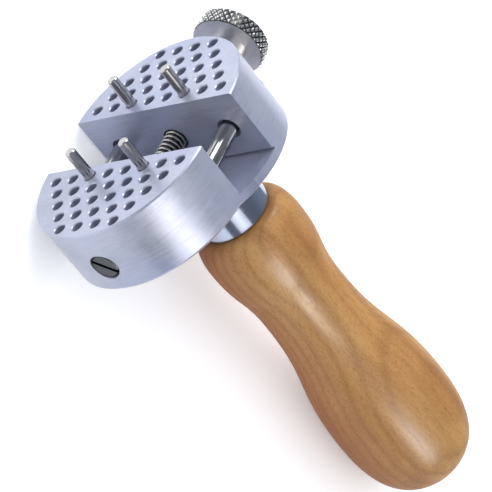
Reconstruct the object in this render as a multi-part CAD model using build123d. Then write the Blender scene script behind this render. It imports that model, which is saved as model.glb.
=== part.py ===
from build123d import *
import os

# Hand pin vise: a round head split into a fixed and a moving jaw, on a turned wooden handle.
#
# Everything is modelled in the tool's own axes, in millimetres: Z is the handle's axis and points
# out of the working face, which is at Z = 0. Y points from the moving jaw towards the knob, and
# Y = 0 is the handle's axis. X runs along the slot between the jaws. At the end every piece is
# laid down on its side, as the tool rests on a bench.

# ---- Head ----
head_diameter = 60.0
jaw_height = 26.0  # fixed jaw, from the working face to the underside of its base
base_thickness = 3.2
saw_setback = 0.4  # from the middle of each jaw's own disc to its slot face
jaw_opening = 20.5  # between the slot faces, with the jaws fully open
slide_clearance = 0.5  # moving jaw above the base
rim_chamfer = 0.4
underside_chamfer = 1.2  # lower rim of the moving jaw
corner_groove = 0.8  # relief cut where the fixed slot face meets the base

# ---- Pins and their holes ----
pin_diameter = 3.3
pin_clearance = 0.1  # radial, pin in hole
pin_hole_depth = 8.0
pin_end_gap = 0.2  # under a seated pin
pin_stand_out = 10.2
pin_chamfer = 0.35
hole_pitch = 6.9
hole_row_spacing = 5.15
hole_row_setback = 4.25  # first row, from the slot face
holes_in_rows = (8, 7, 6, 5, 4)
hole_mouth_chamfer = 0.3
pin_column = 1.5  # pitches from the middle of the first row to each pin

# ---- Guide rods ----
rod_diameter = 5.5
rod_clearance = 0.05  # radial, rod in the fixed jaw
rod_spacing = 41.4
rod_depth = 12.3  # rod axes below the working face
rod_socket_depth = 17.0
rod_reach = 14.0  # into the fixed jaw with the jaws fully open
rod_chamfer = 0.5
rod_mouth_diameter = 7.2
rod_mouth_depth = 1.2

# ---- Clamp screw, spring and knob ----
screw_diameter = 5.0
screw_depth = 12.5  # screw axis below the working face
screw_clearance = 0.3  # radial, through the fixed jaw
screw_head_diameter = 8.3
screw_head_height = 3.3
screw_head_inset = 0.3  # head face below the rim
screw_head_recess = 9.0
screw_slot_width = 1.2
screw_slot_depth = 1.6
screw_slot_angle = 40.0
screw_end_past_knob = 1.2
spring_wire = 0.7
spring_clearance = 0.15  # radial, spring on the screw
spring_diameter = screw_diameter + 2 * (spring_clearance + spring_wire)
spring_pitch = 1.55
spring_pocket_clearance = 0.55  # radial, spring in its pockets
spring_pocket_diameter = spring_diameter + 2 * spring_pocket_clearance
spring_pocket_fixed = 16.0
spring_pocket_moving = 7.0
washer_diameter = 13.0
washer_thickness = 1.0
washer_pad_diameter = 14.0
knob_diameter = 22.9
knob_width = 5.4
knob_collar_diameter = 12.0
knob_collar_length = 8.2
knob_chamfer = 0.7
knob_thread_clearance = 0.05  # radial, knob on the screw
knob_washer_gap = 0.1

# ---- Ferrule and handle ----
ferrule_diameter = 23.6
ferrule_length = 18.4
ferrule_wall = 1.4
ferrule_top = 5.0
ferrule_spigot_diameter = 12.0
ferrule_spigot_inset = 0.2  # below the base's floor
ferrule_lip = 0.3
stud_diameter = 8.0
stud_length = 55.0
handle_top_ledge = 0.5  # wood outside the ferrule's lower edge
shoulder_diameter = 33.6
shoulder_drop = 10.75  # below the ferrule's lower edge
neck_diameter = 28.2
neck_drop = 36.2
bulb_diameter = 40.0
bulb_drop = 88.8
bulb_end_length = 28.1  # from the bulb's widest place to the handle's end

# ---- How the outline is drawn ----
shoulder_fullness = 0.6  # 0 is a straight bevel, 0.55 a quarter of an ellipse, 1 a square corner
end_fullness = 0.69
swell_ease = 0.5  # share of each swell's length that its ends spend upright
cut_past = 1.0  # how far a cutter runs on outside the piece

# ---- Places worked out from the sizes above ----
head_radius = head_diameter / 2
floor_z = base_thickness - jaw_height
fixed_face_y = saw_setback
moving_face_y = fixed_face_y - jaw_opening
moving_centre_y = moving_face_y + saw_setback
moving_height = jaw_height - base_thickness - slide_clearance
pin_hole_radius = pin_diameter / 2 + pin_clearance
washer_seat_y = (head_radius**2 - (washer_pad_diameter / 2) ** 2) ** 0.5
knob_start_y = washer_seat_y + washer_thickness + knob_washer_gap
knob_face_y = knob_start_y + knob_collar_length
knob_end_y = knob_face_y + knob_width
screw_face_y = moving_centre_y - head_radius + screw_head_inset
screw_end_y = knob_end_y + screw_end_past_knob
spring_start_y = moving_face_y - spring_pocket_moving
spring_end_y = fixed_face_y + spring_pocket_fixed
ferrule_end_z = -jaw_height - ferrule_length
bulb_z = ferrule_end_z - bulb_drop
handle_end_z = bulb_z - bulb_end_length


def cylinder_y(diameter, start, end, x=0.0, z=-screw_depth):
    """A cylinder along Y, from one Y to another."""
    body = Cylinder(diameter / 2, end - start, align=(Align.CENTER, Align.CENTER, Align.MIN))
    return Pos(x, start, z) * Rot(-90, 0, 0) * body


def cylinder_z(diameter, top, bottom, x=0.0, y=0.0):
    """A cylinder along Z, from its top to its bottom."""
    body = Cylinder(diameter / 2, top - bottom, align=(Align.CENTER, Align.CENTER, Align.MAX))
    return Pos(x, y, top) * body


def round_edges_at(shape, z):
    """The outer circular edges that lie flat at a height."""
    circles = shape.edges().filter_by(GeomType.CIRCLE)
    return [e for e in circles if abs(e.center().Z - z) < 1e-3 and e.bounding_box().size.Z < 1e-3]


def end_chamfers(shape, size):
    """Chamfer both end circles of a round bar."""
    return chamfer(shape.edges().filter_by(GeomType.CIRCLE), size)


def half_disc(height, centre_y, face_y, side):
    """The part of a disc on one side of its slot face; side is +1 towards the knob."""
    disc = cylinder_z(head_diameter, 0, -height, y=centre_y)
    middle_y = face_y + side * head_diameter / 2
    return disc & Pos(0, middle_y, -height / 2) * Box(2 * head_diameter, head_diameter, height)


def hole_places(face_y, side):
    """Centres of a jaw's pin holes, each row staggered by half a pitch."""
    places = []
    for row, count in enumerate(holes_in_rows):
        y = face_y + side * (hole_row_setback + row * hole_row_spacing)
        for i in range(count):
            places.append(((i - (count - 1) / 2) * hole_pitch, y))
    return places


def pin_holes(face_y, side):
    """The cutters for a jaw's pin holes, with their chamfered mouths."""
    mouth_radius = pin_hole_radius + hole_mouth_chamfer
    bore = cylinder_z(2 * pin_hole_radius, 0, -pin_hole_depth)
    mouth = Pos(0, 0, -hole_mouth_chamfer / 2) * Cone(pin_hole_radius, mouth_radius, hole_mouth_chamfer)
    cutter = bore + mouth
    return [Pos(x, y, 0) * cutter for x, y in hole_places(face_y, side)]


def rod_holes(diameter, start, end):
    """A pair of holes on the guide rods' axes."""
    return [cylinder_y(diameter, start, end, x, -rod_depth) for x in (-rod_spacing / 2, rod_spacing / 2)]


def make_fixed_jaw():
    base = cylinder_z(head_diameter, floor_z, -jaw_height)
    jaw = half_disc(jaw_height, 0, fixed_face_y, 1) + base
    jaw = chamfer(round_edges_at(jaw, 0) + round_edges_at(jaw, -jaw_height), rim_chamfer)
    groove_at = Pos(0, fixed_face_y, floor_z + corner_groove / 2)
    jaw -= groove_at * Box(2 * head_diameter, 2 * corner_groove, corner_groove)
    jaw -= pin_holes(fixed_face_y, 1)
    jaw -= rod_holes(rod_diameter + 2 * rod_clearance, fixed_face_y - cut_past, head_radius)
    jaw -= rod_holes(rod_mouth_diameter, fixed_face_y - cut_past, fixed_face_y + rod_mouth_depth)
    jaw -= cylinder_y(spring_pocket_diameter, fixed_face_y - cut_past, spring_end_y)
    jaw -= cylinder_y(screw_diameter + 2 * screw_clearance, fixed_face_y, head_radius + cut_past)
    jaw -= cylinder_y(washer_pad_diameter, washer_seat_y, head_radius + cut_past)
    jaw -= cylinder_z(ferrule_spigot_diameter, floor_z, -jaw_height)
    return jaw


def make_moving_jaw():
    jaw = half_disc(moving_height, moving_centre_y, moving_face_y, -1)
    jaw = chamfer(round_edges_at(jaw, 0), rim_chamfer)
    jaw = chamfer(round_edges_at(jaw, -moving_height), underside_chamfer)
    jaw -= pin_holes(moving_face_y, -1)
    jaw -= rod_holes(rod_diameter, moving_face_y - rod_socket_depth, moving_face_y + cut_past)
    jaw -= cylinder_y(spring_pocket_diameter, spring_start_y, moving_face_y + cut_past)
    jaw -= cylinder_y(screw_diameter, screw_face_y, moving_face_y)
    outside_y = moving_centre_y - head_radius - cut_past
    jaw -= cylinder_y(screw_head_recess, outside_y, screw_face_y + screw_head_height)
    return jaw


def make_guide_rod(side):
    start = moving_face_y - rod_socket_depth
    rod = cylinder_y(rod_diameter, start, fixed_face_y + rod_reach, side * rod_spacing / 2, -rod_depth)
    return end_chamfers(rod, rod_chamfer)


def make_clamp_screw():
    head_back_y = screw_face_y + screw_head_height
    head = cylinder_y(screw_head_diameter, screw_face_y, head_back_y)
    head = chamfer(head.edges().filter_by(GeomType.CIRCLE).sort_by(Axis.Y)[0], rim_chamfer)
    slot = Box(2 * screw_head_diameter, 2 * screw_slot_depth, screw_slot_width)
    head -= Pos(0, screw_face_y, -screw_depth) * Rot(0, screw_slot_angle, 0) * slot
    shank = cylinder_y(screw_diameter, head_back_y, screw_end_y)
    shank = chamfer(shank.edges().filter_by(GeomType.CIRCLE).sort_by(Axis.Y)[-1], rod_chamfer)
    return head + shank


def make_opening_spring():
    coil_radius = (spring_diameter - spring_wire) / 2
    coil_length = spring_end_y - spring_start_y - spring_wire
    coil = Helix(spring_pitch, coil_length, coil_radius)
    wire = sweep(Plane(coil @ 0, z_dir=coil % 0) * Circle(spring_wire / 2), path=coil, is_frenet=True)
    return Pos(0, spring_start_y + spring_wire / 2, -screw_depth) * Rot(-90, 0, 0) * wire


def make_thrust_washer():
    washer_end_y = washer_seat_y + washer_thickness
    washer = cylinder_y(washer_diameter, washer_seat_y, washer_end_y)
    return washer - cylinder_y(screw_diameter + 2 * screw_clearance, washer_seat_y, washer_end_y)


def make_clamp_knob():
    grip = end_chamfers(cylinder_y(knob_diameter, knob_face_y, knob_end_y), knob_chamfer)
    collar = cylinder_y(knob_collar_diameter, knob_start_y, knob_face_y)
    collar = chamfer(collar.edges().filter_by(GeomType.CIRCLE).sort_by(Axis.Y)[0], rim_chamfer)
    bore = cylinder_y(screw_diameter + 2 * knob_thread_clearance, knob_start_y, knob_end_y)
    return grip + collar - bore


def make_work_pin(face_y, side, column):
    y = face_y + side * hole_row_setback
    pin = cylinder_z(pin_diameter, pin_stand_out, pin_end_gap - pin_hole_depth, column * hole_pitch, y)
    return end_chamfers(pin, pin_chamfer)


def make_ferrule():
    tube = cylinder_z(ferrule_diameter, -jaw_height, ferrule_end_z)
    tube = fillet(round_edges_at(tube, ferrule_end_z), ferrule_lip)
    inside = ferrule_diameter - 2 * ferrule_wall
    tube -= cylinder_z(inside, -jaw_height - ferrule_top, ferrule_end_z)
    spigot_top = floor_z - ferrule_spigot_inset
    ferrule = tube + cylinder_z(ferrule_spigot_diameter, spigot_top, -jaw_height)
    return ferrule - cylinder_z(stud_diameter, spigot_top, ferrule_end_z)


def make_handle_stud():
    top = floor_z - ferrule_spigot_inset
    return end_chamfers(cylinder_z(stud_diameter, top, top - stud_length), rod_chamfer)


def rounding(level, upright, fullness):
    """A curve from a point where the outline runs level to one where it runs upright."""
    (r1, z1), (r2, z2) = level, upright
    return Bezier(level, (r1 + fullness * (r2 - r1), z1), (r2, z2 - fullness * (z2 - z1)), upright)


def swell(top, bottom):
    """A curve that runs upright at both ends, from one radius to another."""
    (r1, z1), (r2, z2) = top, bottom
    return Bezier(top, (r1, z1 + swell_ease * (z2 - z1)), (r2, z2 - swell_ease * (z2 - z1)), bottom)


def make_wooden_handle():
    top = (ferrule_diameter / 2 + handle_top_ledge, ferrule_end_z)
    shoulder = (shoulder_diameter / 2, ferrule_end_z - shoulder_drop)
    neck = (neck_diameter / 2, ferrule_end_z - neck_drop)
    bulb = (bulb_diameter / 2, bulb_z)
    end = (0, handle_end_z)
    outline = rounding(top, shoulder, shoulder_fullness) + swell(shoulder, neck) + swell(neck, bulb)
    outline += rounding(end, bulb, end_fullness) + Polyline(end, (0, ferrule_end_z), top)
    wood = revolve(make_face(Plane.XZ * outline), Axis.Z)
    wood += cylinder_z(ferrule_diameter - 2 * ferrule_wall, -jaw_height - ferrule_top, ferrule_end_z)
    stud_end = floor_z - ferrule_spigot_inset - stud_length
    return wood - cylinder_z(stud_diameter, -jaw_height - ferrule_top, stud_end)


# The tool lies on its side: the working face looks along -X, the handle points along +X, the knob
# is on the +Y side and the slot stands upright. The origin is under the middle of the whole tool,
# at the level of the surface that the head's rim rests on.
middle_x = (-handle_end_z - pin_stand_out) / 2
middle_y = (screw_end_y + moving_centre_y - head_radius) / 2
lay_down = Pos(-middle_x, -middle_y, head_radius) * Rot(0, -90, 0)

pieces = {
    "fixed_jaw": make_fixed_jaw(),
    "moving_jaw": make_moving_jaw(),
    "guide_rod_lower": make_guide_rod(-1),
    "guide_rod_upper": make_guide_rod(1),
    "clamp_screw": make_clamp_screw(),
    "opening_spring": make_opening_spring(),
    "thrust_washer": make_thrust_washer(),
    "clamp_knob": make_clamp_knob(),
    "fixed_pin_lower": make_work_pin(fixed_face_y, 1, -pin_column),
    "fixed_pin_upper": make_work_pin(fixed_face_y, 1, pin_column),
    "moving_pin_lower": make_work_pin(moving_face_y, -1, -pin_column),
    "moving_pin_upper": make_work_pin(moving_face_y, -1, pin_column),
    "ferrule": make_ferrule(),
    "handle_stud": make_handle_stud(),
    "wooden_handle": make_wooden_handle(),
}

os.makedirs("parts", exist_ok=True)
for name, piece in pieces.items():
    export_step(lay_down * piece, f"parts/{name}.step")
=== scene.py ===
import math

import bmesh
import bpy
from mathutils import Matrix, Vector


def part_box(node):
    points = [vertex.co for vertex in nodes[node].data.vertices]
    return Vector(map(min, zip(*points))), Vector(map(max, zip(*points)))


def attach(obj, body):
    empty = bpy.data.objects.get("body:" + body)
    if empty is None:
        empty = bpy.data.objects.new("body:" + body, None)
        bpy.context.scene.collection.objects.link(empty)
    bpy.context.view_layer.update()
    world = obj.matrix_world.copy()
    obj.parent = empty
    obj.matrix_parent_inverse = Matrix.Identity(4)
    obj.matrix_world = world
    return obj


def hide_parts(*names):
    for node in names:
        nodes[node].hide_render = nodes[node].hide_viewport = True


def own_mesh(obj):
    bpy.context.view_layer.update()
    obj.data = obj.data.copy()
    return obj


# A hand pin vise lying on its side: +X runs along the handle, +Y along the clamp screw towards the
# knob, and +Z is up. Lengths are in metres, and the head, rods, pins, ferrule and handle are the
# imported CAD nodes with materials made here.

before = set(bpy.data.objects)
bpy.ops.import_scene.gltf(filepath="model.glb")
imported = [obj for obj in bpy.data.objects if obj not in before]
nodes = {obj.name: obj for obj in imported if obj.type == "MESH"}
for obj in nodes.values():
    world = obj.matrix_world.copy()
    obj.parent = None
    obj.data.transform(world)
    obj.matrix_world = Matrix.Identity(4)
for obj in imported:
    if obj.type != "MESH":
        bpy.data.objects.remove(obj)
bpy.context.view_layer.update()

mm = 0.001

# ---- Knob: knurled band, plain turned faces ----
knob_width = 5.4 * mm
knob_chamfer = 0.7 * mm
knob_collar_radius = 6.0 * mm
knob_bore_radius = 2.55 * mm
knurl_count = 33
knurl_pitch = 2.4 * mm
knurl_depth = 0.62 * mm
knurl_steps = 12  # mesh steps across one knurl

# ---- Clamp screw: slotted head, M5 thread ----
screw_radius = 2.5 * mm
screw_head_height = 3.3 * mm
screw_head_chamfer = 0.4 * mm
screw_slot_width = 1.2 * mm
screw_slot_depth = 1.6 * mm
screw_slot_angle = math.radians(40)
screw_end_chamfer = 0.5 * mm
thread_pitch = 0.8 * mm
thread_depth = 0.43 * mm
thread_length = 64.0 * mm
thread_steps = 8  # mesh steps along one pitch

# ---- Opening spring ----
spring_wire_radius = 0.35 * mm
spring_turns = 28
spring_closed_turns = 1.5  # at each end, wound wire against wire
spring_closed_gap = 0.05 * mm

# ---- Head ----
fixed_slot_y = 2.71 * mm

# ---- Handle ----
lit_side = (0, 0.45, 0.89)  # direction across the handle towards the lit side; away from it the wood gets painted shade, darker and more red

# ---- Camera ----
camera_place = Vector((-0.42604, -0.45153, 0.55195))
camera_angles = (9.800, -48.427, 35.076)
camera_lens = 198.55


def add(tree, kind, inputs=None, **settings):
    """Adds a shader node. Each input is a value, or an output to link from."""
    node = tree.nodes.new(kind)
    for key, value in settings.items():
        setattr(node, key, value)
    for key, value in (inputs or {}).items():
        if isinstance(value, bpy.types.NodeSocket):
            tree.links.new(value, node.inputs[key])
        else:
            node.inputs[key].default_value = value
    return node


def new_material(name, settings):
    """A material, its node tree and its shader, with constant values on the shader's sockets."""
    material = bpy.data.materials.new(name)
    material.use_nodes = True
    shader = material.node_tree.nodes["Principled BSDF"]
    for socket, value in settings.items():
        shader.inputs[socket].default_value = value
    return material, material.node_tree, shader


def place_in(tree, stretch):
    """The row-frame position, multiplied along each axis."""
    where = add(tree, "ShaderNodeTexCoord").outputs["Object"]
    return add(tree, "ShaderNodeMapping", {"Vector": where, "Scale": stretch}).outputs["Vector"]


def noise(tree, stretch, detail=3.0, roughness=0.6):
    """Noise from 0 to 1; stretch is the number of features to a metre along each axis."""
    inputs = {"Vector": place_in(tree, stretch), "Scale": 1.0, "Detail": detail, "Roughness": roughness}
    return add(tree, "ShaderNodeTexNoise", inputs).outputs["Fac"]


def rescale(tree, value, start, end, low=0.0, high=1.0):
    """Takes start..end to low..high, and holds what is past them."""
    inputs = {"Value": value, "From Min": start, "From Max": end, "To Min": low, "To Max": high}
    return add(tree, "ShaderNodeMapRange", inputs).outputs["Result"]


def spread(tree, value, low, high):
    """Takes the noise's usual range to low..high."""
    return rescale(tree, value, 0.3, 0.7, low, high)


def ramp(tree, value, stops):
    """Colours at places from 0 to 1."""
    node = add(tree, "ShaderNodeValToRGB", {"Fac": value})
    while len(node.color_ramp.elements) < len(stops):
        node.color_ramp.elements.new(0.5)
    for element, (place, colour) in zip(node.color_ramp.elements, stops):
        element.position = place
        element.color = (*colour, 1.0)
    return node.outputs["Color"]


def math_node(tree, operation, *values):
    node = tree.nodes.new("ShaderNodeMath")
    node.operation = operation
    for i, value in enumerate(values):
        if isinstance(value, bpy.types.NodeSocket):
            tree.links.new(value, node.inputs[i])
        else:
            node.inputs[i].default_value = value
    return node.outputs["Value"]


def mix(tree, share, a, b, blend="MIX"):
    inputs = {"Fac": share, "Color1": a, "Color2": b}
    return add(tree, "ShaderNodeMixRGB", inputs, blend_type=blend).outputs["Color"]


def split_axes(tree, vector):
    return add(tree, "ShaderNodeSeparateXYZ", {"Vector": vector})


def distance(tree, first, second):
    """Length of the right triangle's long side."""
    squares = [math_node(tree, "POWER", math_node(tree, "ABSOLUTE", part), 2.0) for part in (first, second)]
    return math_node(tree, "SQRT", math_node(tree, "ADD", *squares))


def bump(tree, shader, height, distance, strength=1.0):
    inputs = {"Height": height, "Distance": distance, "Strength": strength}
    node = add(tree, "ShaderNodeBump", inputs)
    tree.links.new(node.outputs["Normal"], shader.inputs["Normal"])


def scaled(colour, factor):
    return tuple(channel * factor for channel in colour)


def metal(name, colour, roughness, grain, contrast=0.12, bump_height=2e-6, **extra):
    """Worked metal: grain is the number of tool marks to a metre along each axis."""
    material, tree, shader = new_material(name, {"Metallic": 1.0, **extra})
    marks = noise(tree, grain)
    patches = noise(tree, (90, 90, 90), detail=2.0)
    fine, broad = math_node(tree, "MULTIPLY", marks, 0.6), math_node(tree, "MULTIPLY", patches, 0.4)
    tone = math_node(tree, "ADD", fine, broad)
    stops = [(0.35, scaled(colour, 1 - contrast)), (0.65, scaled(colour, 1 + contrast))]
    tree.links.new(ramp(tree, tone, stops), shader.inputs["Base Color"])
    tree.links.new(spread(tree, tone, roughness * 0.8, roughness * 1.25), shader.inputs["Roughness"])
    bump(tree, shader, marks, bump_height)
    return material


def inside_jaws(tree, along):
    """1 on the walls of the drilled holes, which lie inside the rim and off the slot faces."""
    where = split_axes(tree, add(tree, "ShaderNodeTexCoord").outputs["Object"])
    is_inside = math_node(tree, "LESS_THAN", along, 0.6)
    clear = 0.6 * mm
    fixed_low, fixed_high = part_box("fixed_jaw")
    moving_low, moving_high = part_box("moving_jaw")
    radius = (fixed_high.z - fixed_low.z) / 2
    middle_z = (fixed_high.z + fixed_low.z) / 2
    up = math_node(tree, "SUBTRACT", where.outputs["Z"], middle_z)
    shares = []
    for centre_y, slot_y in ((fixed_high.y - radius, fixed_slot_y), (moving_low.y + radius, moving_high.y)):
        side = math_node(tree, "SUBTRACT", where.outputs["Y"], centre_y)
        in_rim = math_node(tree, "LESS_THAN", distance(tree, up, side), radius - clear)
        from_slot = math_node(tree, "ABSOLUTE", math_node(tree, "SUBTRACT", where.outputs["Y"], slot_y))
        off_slot = math_node(tree, "GREATER_THAN", from_slot, clear)
        shares.append(math_node(tree, "MULTIPLY", in_rim, off_slot))
    is_fixed = math_node(tree, "GREATER_THAN", where.outputs["Y"], (fixed_slot_y + moving_high.y) / 2)
    in_body = mix(tree, is_fixed, shares[1], shares[0])
    return math_node(tree, "MULTIPLY", is_inside, in_body)


def head_aluminium():
    """Satin aluminium: bead-blasted flat faces, a finely turned rim, and drilled holes darkened with
    painted shade.
    """
    colour = (0.385, 0.405, 0.50)
    material, tree, shader = new_material("head_aluminium", {})
    normal = add(tree, "ShaderNodeNewGeometry").outputs["True Normal"]
    along = math_node(tree, "ABSOLUTE", split_axes(tree, normal).outputs["X"])
    is_face = math_node(tree, "GREATER_THAN", along, 0.8)
    blasted = noise(tree, (2600, 2600, 2600), detail=3.0, roughness=0.7)
    turned_marks = noise(tree, (3500, 150, 150), detail=2.0)
    grain = mix(tree, is_face, turned_marks, blasted)
    patches = noise(tree, (55, 90, 90), detail=4.0)
    tone = mix(tree, 0.5, grain, patches)
    stops = [(0.36, scaled(colour, 0.84)), (0.5, colour), (0.64, scaled(colour, 1.1))]
    surface = ramp(tree, tone, stops)
    mottle = noise(tree, (38, 38, 38), detail=2.0)
    bluish = ramp(tree, mottle, [(0.42, (1.0, 1.0, 1.0)), (0.66, (0.88, 0.91, 1.0))])
    surface = mix(tree, 1.0, surface, bluish, "MULTIPLY")
    # Painted shade: the walls of the drilled holes are given a darker colour, as the shade inside the
    # holes.
    painted_hole_shade = mix(tree, 1.0, surface, (0.55, 0.55, 0.6, 1.0), "MULTIPLY")
    in_holes = inside_jaws(tree, along)
    surface = mix(tree, in_holes, surface, painted_hole_shade)
    tree.links.new(rescale(tree, in_holes, 0.0, 1.0, 0.5, 0.1), shader.inputs["Metallic"])
    tree.links.new(surface, shader.inputs["Base Color"])
    tree.links.new(spread(tree, tone, 0.28, 0.43), shader.inputs["Roughness"])
    bump(tree, shader, grain, 8e-6, 0.7)
    return material


def knob_nickel():
    """Nickel plate over turned faces, whose fine rings draw the light into radial streaks; painted shade
    darkens the knurl's grooves and the face, and a painted highlight lightens the knurl.
    """
    # The same nickel on both: the turned face gets a darker colour as painted shade, and the knurl a
    # lighter one as painted highlight.
    shaded_face_colour, lit_knurl_colour = (0.46, 0.46, 0.50), (0.72, 0.72, 0.70)
    settings = {"Metallic": 1.0, "Anisotropic": 0.4}
    material, tree, shader = new_material("knob_nickel", settings)
    low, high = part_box("clamp_knob")
    middle = (low + high) / 2
    where = add(tree, "ShaderNodeTexCoord").outputs["Object"]
    offset = add(tree, "ShaderNodeVectorMath", {0: where, 1: middle}, operation="SUBTRACT")
    split = split_axes(tree, offset.outputs["Vector"])
    radius = distance(tree, split.outputs["X"], split.outputs["Z"])
    rings = {"W": radius, "Scale": 6000.0, "Detail": 3.0}
    marks = add(tree, "ShaderNodeTexNoise", rings, noise_dimensions="1D").outputs["Fac"]
    patches = noise(tree, (160, 160, 160))
    tone = mix(tree, 0.5, marks, patches)
    face = ramp(tree, tone, [(0.35, scaled(shaded_face_colour, 0.85)), (0.65, scaled(shaded_face_colour, 1.12))])
    knurl = ramp(tree, tone, [(0.35, scaled(lit_knurl_colour, 0.85)), (0.65, scaled(lit_knurl_colour, 1.12))])
    crest = (high.x - low.x) / 2
    # Painted shade: the knurl's colour darkens towards the bottom of its grooves; the collar is left out.
    height = rescale(tree, radius, crest - 0.9 * knurl_depth, crest - 0.45 * knurl_depth)
    is_collar = math_node(tree, "LESS_THAN", radius, knob_collar_radius + 1 * mm)
    height = math_node(tree, "MAXIMUM", height, is_collar)
    painted_groove_shade = ramp(tree, height, [(0.0, (0.06, 0.06, 0.06)), (1.0, (1.0, 1.0, 1.0))])
    knurl = mix(tree, 1.0, knurl, painted_groove_shade, "MULTIPLY")
    normal = add(tree, "ShaderNodeNewGeometry").outputs["Normal"]
    along = math_node(tree, "ABSOLUTE", split_axes(tree, normal).outputs["Y"])
    is_face = math_node(tree, "GREATER_THAN", along, 0.9)
    tree.links.new(mix(tree, is_face, knurl, face), shader.inputs["Base Color"])
    tree.links.new(rescale(tree, is_face, 0.0, 1.0, 0.16, 0.4), shader.inputs["Roughness"])
    tangent = add(tree, "ShaderNodeTangent", direction_type="RADIAL", axis="Y")
    tree.links.new(tangent.outputs["Tangent"], shader.inputs["Tangent"])
    bump(tree, shader, marks, 3e-6, 0.5)
    return material


def handle_wood():
    """Varnished beech with flecks and growth rings that the turned shape cuts; painted shade makes the side
    away from the light darker and more red.
    """
    settings = {"Coat Weight": 0.115, "Coat IOR": 3.0, "Roughness": 0.55, "Specular IOR Level": 0.1}
    material, tree, shader = new_material("handle_wood", settings)
    bands = noise(tree, (8, 120, 55), detail=5.0, roughness=0.62)
    honey = [(0.30, (0.32, 0.145, 0.038)), (0.48, (0.44, 0.230, 0.070)), (0.70, (0.54, 0.318, 0.113))]
    colour = ramp(tree, bands, honey)
    axes = {0: place_in(tree, (1, 1, 1)), 1: lit_side}
    # Painted shade: the wood darkens and turns more red towards the side away from the light; the same tint
    # also comes in random flushes.
    across = add(tree, "ShaderNodeVectorMath", axes, operation="DOT_PRODUCT").outputs["Value"]
    low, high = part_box("wooden_handle")
    axis_across = ((low + high) / 2).dot(Vector(lit_side))
    shaded_side = rescale(tree, across, axis_across + 6 * mm, axis_across - 12 * mm)
    flush = spread(tree, noise(tree, (16, 40, 40), detail=2.0), 0.0, 0.7)
    share = math_node(tree, "MAXIMUM", shaded_side, math_node(tree, "MULTIPLY", flush, 0.6))
    shade_and_flush = ramp(tree, share, [(0.0, (1.0, 1.0, 1.0)), (1.0, (0.63, 0.42, 0.28))])
    colour = mix(tree, 1.0, colour, shade_and_flush, "MULTIPLY")
    rings = {"Vector": place_in(tree, (12, 95, 95)), "Scale": 1.0, "Distortion": 2.2, "Detail": 3.0}
    wave = add(tree, "ShaderNodeTexWave", rings, wave_type="RINGS", rings_direction="X").outputs["Fac"]
    tints = [(0.0, (0.86, 0.80, 0.74)), (0.35, (1.0, 1.0, 1.0)), (1.0, (1.05, 1.05, 1.06))]
    growth = ramp(tree, wave, tints)
    colour = mix(tree, 0.8, colour, growth, "MULTIPLY")
    flecks = noise(tree, (550, 3600, 3600), detail=3.0, roughness=0.6)
    dark = ramp(tree, flecks, [(0.51, (1.0, 1.0, 1.0)), (0.66, (0.68, 0.56, 0.46))])
    colour = mix(tree, 0.9, colour, dark, "MULTIPLY")
    tree.links.new(colour, shader.inputs["Base Color"])
    streaks = noise(tree, (45, 700, 700), detail=3.0)
    tree.links.new(spread(tree, streaks, 0.25, 0.42), shader.inputs["Coat Roughness"])
    waviness = noise(tree, (60, 220, 220), detail=2.0)
    height = mix(tree, 0.5, waviness, flecks)
    bump(tree, shader, height, 1.4e-4, 0.5)
    return material


def wave(turns):
    """A triangle wave: 0 at whole numbers and 1 halfway between them."""
    return 1 - abs(2 * (turns % 1) - 1)


def finish_mesh(name, shape, material, body, sharp=math.radians(28)):
    """Makes the object, with smooth shading split at edges sharper than the angle."""
    bmesh.ops.recalc_face_normals(shape, faces=shape.faces)
    for face in shape.faces:
        face.smooth = True
    for edge in shape.edges:
        edge.smooth = edge.calc_face_angle(0.0) < sharp
    data = bpy.data.meshes.new(name)
    shape.to_mesh(data)
    shape.free()
    data.materials.append(material)
    piece = bpy.data.objects.new(name, data)
    bpy.context.scene.collection.objects.link(piece)
    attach(piece, body)
    return piece


def turn(profile, axis, steps, limit=None, closed=False):
    """Turns (radius, y) points round a line along Y. limit(angle, y) is the largest radius there."""
    shape = bmesh.new()
    rings = []
    for radius, y in profile:
        if radius == 0:
            rings.append([shape.verts.new((axis.x, y, axis.z))] * steps)
            continue
        ring = []
        for i in range(steps):
            angle = 2 * math.pi * i / steps
            r = min(radius, limit(angle, y)) if limit else radius
            ring.append(shape.verts.new((axis.x + r * math.cos(angle), y, axis.z + r * math.sin(angle))))
        rings.append(ring)
    if closed:
        rings.append(rings[0])
    for first, second in zip(rings, rings[1:]):
        for i in range(steps):
            j = (i + 1) % steps
            corners = list(dict.fromkeys((first[i], first[j], second[j], second[i])))
            shape.faces.new(corners)
    return shape


def make_knob(material):
    low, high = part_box("clamp_knob")
    middle = (low + high) / 2
    radius = (high.x - low.x) / 2
    face_y = high.y - knob_width

    def knurl(angle, y):
        around = knurl_count * angle / (2 * math.pi)
        along = (y - face_y) / knurl_pitch
        peak = min(wave(around + along), wave(around - along))
        return radius - knurl_depth * (1 - min(1.0, 1.1 * peak))

    count = round(knob_width / knurl_pitch * knurl_steps)
    profile = [(knob_bore_radius, low.y), (knob_collar_radius - knob_chamfer / 2, low.y),
               (knob_collar_radius, low.y + knob_chamfer / 2), (knob_collar_radius, face_y)]
    for i in range(count + 1):
        y = face_y + knob_width * i / count
        from_end = min(y - face_y, high.y - y)
        profile.append((radius - max(0.0, knob_chamfer - from_end), y))
    profile.append((knob_bore_radius, high.y))
    shape = turn(profile, middle, knurl_count * knurl_steps, knurl, closed=True)
    knob = finish_mesh("knurled_knob", shape, material, "knob")
    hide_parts("clamp_knob")


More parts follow.
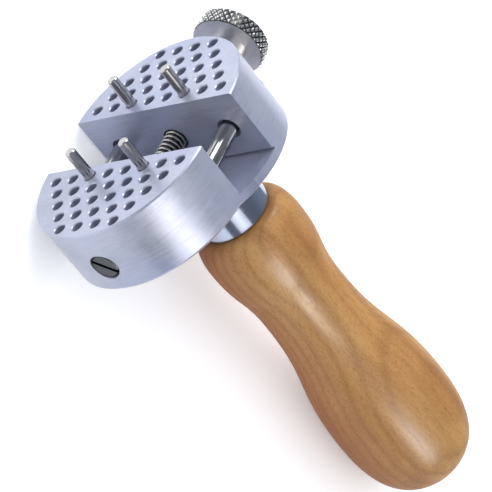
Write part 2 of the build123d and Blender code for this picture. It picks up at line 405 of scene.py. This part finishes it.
def make_clamp_screw(material):
    low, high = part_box("clamp_screw")
    middle = (low + high) / 2
    head_radius = (high.x - low.x) / 2
    thread_start = high.y - thread_length

    def thread(angle, y):
        if y < thread_start:
            return head_radius
        height = min(1.0, 1.2 * wave(y / thread_pitch + angle / (2 * math.pi)))
        return screw_radius - thread_depth * (1 - height)

    neck_y = low.y + screw_head_height
    profile = [(0, low.y), (head_radius - screw_head_chamfer, low.y),
               (head_radius, low.y + screw_head_chamfer),
               (head_radius, neck_y), (screw_radius, neck_y), (screw_radius, thread_start - thread_pitch)]
    count = round(thread_length / thread_pitch * thread_steps)
    for i in range(count + 1):
        y = thread_start + thread_length * i / count
        profile.append((screw_radius - max(0.0, screw_end_chamfer - (high.y - y)), y))
    profile.append((0, high.y))
    shape = turn(profile, middle, 48, thread)
    screw = finish_mesh("slotted_clamp_screw", shape, material, "moving_jaw_carriage")
    cut_slot(screw, Vector((middle.x, low.y, middle.z)), head_radius)
    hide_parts("clamp_screw")


def cut_slot(screw, centre, head_radius):
    """Cuts the driver slot across the head."""
    shape = bmesh.new()
    bmesh.ops.create_cube(shape, size=1.0)
    bmesh.ops.scale(shape, vec=(screw_slot_width, 2 * screw_slot_depth, 4 * head_radius), verts=shape.verts)
    data = bpy.data.meshes.new("slot_cutter")
    shape.to_mesh(data)
    shape.free()
    cutter = bpy.data.objects.new("slot_cutter", data)
    bpy.context.scene.collection.objects.link(cutter)
    cutter.location = centre
    cutter.rotation_euler = (0, screw_slot_angle, 0)
    boolean = screw.modifiers.new("slot", "BOOLEAN")
    boolean.operation = "DIFFERENCE"
    boolean.solver = "EXACT"
    boolean.object = cutter
    apply_modifiers(screw)
    bpy.data.objects.remove(cutter)


def apply_modifiers(piece):
    bpy.context.view_layer.update()
    evaluated = piece.evaluated_get(bpy.context.evaluated_depsgraph_get())
    made = bpy.data.meshes.new_from_object(evaluated)
    piece.modifiers.clear()
    piece.data = made


def make_spring(material):
    """A wound compression spring with closed ends."""
    low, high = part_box("opening_spring")
    middle = (low + high) / 2
    coil_radius = (high.x - low.x) / 2 - spring_wire_radius
    closed_pitch = 2 * spring_wire_radius + spring_closed_gap
    length = high.y - low.y - 2 * spring_wire_radius
    open_turns = spring_turns - 2 * spring_closed_turns
    open_pitch = (length - 2 * spring_closed_turns * closed_pitch) / open_turns

    def height(turns):
        """Distance along the spring after so many turns."""
        first = min(turns, spring_closed_turns)
        last = max(0.0, turns - spring_turns + spring_closed_turns)
        return (first + last) * closed_pitch + (turns - first - last) * open_pitch

    around, sides = 36, 12
    shape = bmesh.new()
    rings = []
    for i in range(spring_turns * around + 1):
        turns = i / around
        angle = 2 * math.pi * turns
        outward = Vector((math.cos(angle), 0, math.sin(angle)))
        along = low.y + spring_wire_radius + height(turns)
        centre = Vector((middle.x, along, middle.z)) + outward * coil_radius
        ring = []
        for j in range(sides):
            side = 2 * math.pi * j / sides
            offset = outward * math.cos(side) + Vector((0, math.sin(side), 0))
            ring.append(shape.verts.new(centre + offset * spring_wire_radius))
        rings.append(ring)
    for first, second in zip(rings, rings[1:]):
        for j in range(sides):
            k = (j + 1) % sides
            shape.faces.new((first[j], first[k], second[k], second[j]))
    shape.faces.new(rings[0])
    shape.faces.new(reversed(rings[-1]))
    spring = finish_mesh("coil_spring", shape, material, "handle_and_fixed_jaw")
    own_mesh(spring)
    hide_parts("opening_spring")


def paint(node, material):
    """Gives a CAD node its finish."""
    piece = nodes[node]
    piece.data.materials.clear()
    piece.data.materials.append(material)


def make_floor():
    """A white floor that touches the head's rim and the handle's bulb, as the tool lies on a bench."""
    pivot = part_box("fixed_jaw")[1].x
    clear = 0.05
    outline = [v.co for v in nodes["wooden_handle"].data.vertices if v.co.x > pivot + clear]
    tilt = min(math.atan2(p.z, p.x - pivot) for p in outline)
    settings = {"Roughness": 0.9, "Specular IOR Level": 0.1, "Emission Strength": 0.3}
    material, tree, shader = new_material("floor_white", settings)
    shade = ramp(tree, noise(tree, (3, 3, 3)), [(0.0, (0.86, 0.87, 0.88)), (1.0, (0.90, 0.90, 0.90))])
    tree.links.new(shade, shader.inputs["Base Color"])
    shader.inputs["Emission Color"].default_value = (1.0, 1.0, 1.0, 1.0)
    shape = bmesh.new()
    bmesh.ops.create_grid(shape, x_segments=1, y_segments=1, size=3.0)
    data = bpy.data.meshes.new("floor")
    shape.to_mesh(data)
    shape.free()
    data.materials.append(material)
    floor = bpy.data.objects.new("floor", data)
    bpy.context.scene.collection.objects.link(floor)
    floor.location = (pivot, 0, 0)
    floor.rotation_euler = (0, -tilt, 0)


def area_light(name, place, target, size, power, colour=(1.0, 1.0, 1.0)):
    light = bpy.data.lights.new(name, "AREA")
    light.shape = "RECTANGLE"
    light.size, light.size_y = size
    light.energy = power
    light.color = colour
    lamp = bpy.data.objects.new(name, light)
    bpy.context.scene.collection.objects.link(lamp)
    lamp.location = place
    lamp.rotation_mode = "QUATERNION"
    lamp.rotation_quaternion = (Vector(target) - Vector(place)).to_track_quat("-Z", "Y")
    return lamp


def make_studio():
    """Two warm softboxes seen only in reflections, fills that only light, and a small front light."""
    warm = (1.0, 0.97, 0.9)
    key = area_light("key_softbox", (0.35, -0.62, 0.74), (0.35, 0.0, 0.03), (1.7, 0.68), 4.2, warm)
    place, target = (0.96, -0.62, 0.74), (0.96, 0.0, 0.03)
    handle_key = area_light("handle_softbox", place, target, (0.78, 0.36), 19.0, warm)
    for softbox in (key, handle_key):
        softbox.visible_diffuse = False
    overhead = area_light("overhead_fill", (0.1, 0.15, 1.0), (0.1, 0.15, 0.0), (2.8, 2.6), 22.0)
    side = area_light("side_fill", (0.05, 1.05, 0.7), (0.05, 0.0, 0.0), (1.8, 1.3), 5.0)
    slot = area_light("slot_fill", (-0.55, -0.5, 0.5), (-0.06, 0.0, 0.03), (0.8, 0.8), 1.0)
    for fill in (overhead, side, slot):
        fill.visible_glossy = False
    area_light("front_light", (-0.62, 0.46, 0.44), (-0.07, 0.0, 0.03), (0.35, 0.35), 3.4)
    world = bpy.data.worlds.new("studio")
    bpy.context.scene.world = world
    world.use_nodes = True
    tree = world.node_tree
    direction = add(tree, "ShaderNodeTexCoord").outputs["Generated"]
    split = split_axes(tree, direction)
    back = rescale(tree, split.outputs["Y"], -0.6, 0.8)
    room = ramp(tree, back, [(0.6, (0.20, 0.22, 0.26)), (1.0, (0.34, 0.38, 0.43))])
    front = rescale(tree, split.outputs["X"], 0.1, -0.5)
    room = mix(tree, front, room, (0.42, 0.44, 0.50, 1.0))
    tree.links.new(room, tree.nodes["Background"].inputs["Color"])


def make_camera():
    data = bpy.data.cameras.new("camera")
    data.sensor_width = 36.0
    data.lens = camera_lens
    camera = bpy.data.objects.new("camera", data)
    bpy.context.scene.collection.objects.link(camera)
    camera.location = camera_place
    camera.rotation_euler = [math.radians(a) for a in camera_angles]
    bpy.context.scene.camera = camera


aluminium = head_aluminium()
ground_steel = metal("rod_steel", (0.36, 0.36, 0.35), 0.13, (1300, 60, 1300), contrast=0.3)
pin_steel = metal("pin_steel", (0.42, 0.405, 0.395), 0.2, (120, 1500, 1500), contrast=0.25)
spring_steel = metal("spring_steel", (0.50, 0.475, 0.43), 0.26, (1500, 1500, 1500))
black_steel = metal("black_steel", (0.075, 0.08, 0.085), 0.38, (2500, 2500, 2500), contrast=0.3)
polished = {"contrast": 0.04, "bump_height": 5e-7}
chrome = metal("ferrule_chrome", (0.39, 0.43, 0.54), 0.15, (1200, 120, 120), **polished)
nickel = knob_nickel()
wood = handle_wood()

for node in ("fixed_jaw", "moving_jaw"):
    paint(node, aluminium)
for node in ("guide_rod_lower", "guide_rod_upper", "thrust_washer", "handle_stud"):
    paint(node, ground_steel)
for node in ("fixed_pin_lower", "fixed_pin_upper", "moving_pin_lower", "moving_pin_upper"):
    paint(node, pin_steel)
paint("ferrule", chrome)
paint("wooden_handle", wood)

make_knob(nickel)
make_clamp_screw(black_steel)
make_spring(spring_steel)

make_floor()
make_studio()
make_camera()
bpy.context.scene.view_settings.view_transform = "Standard"
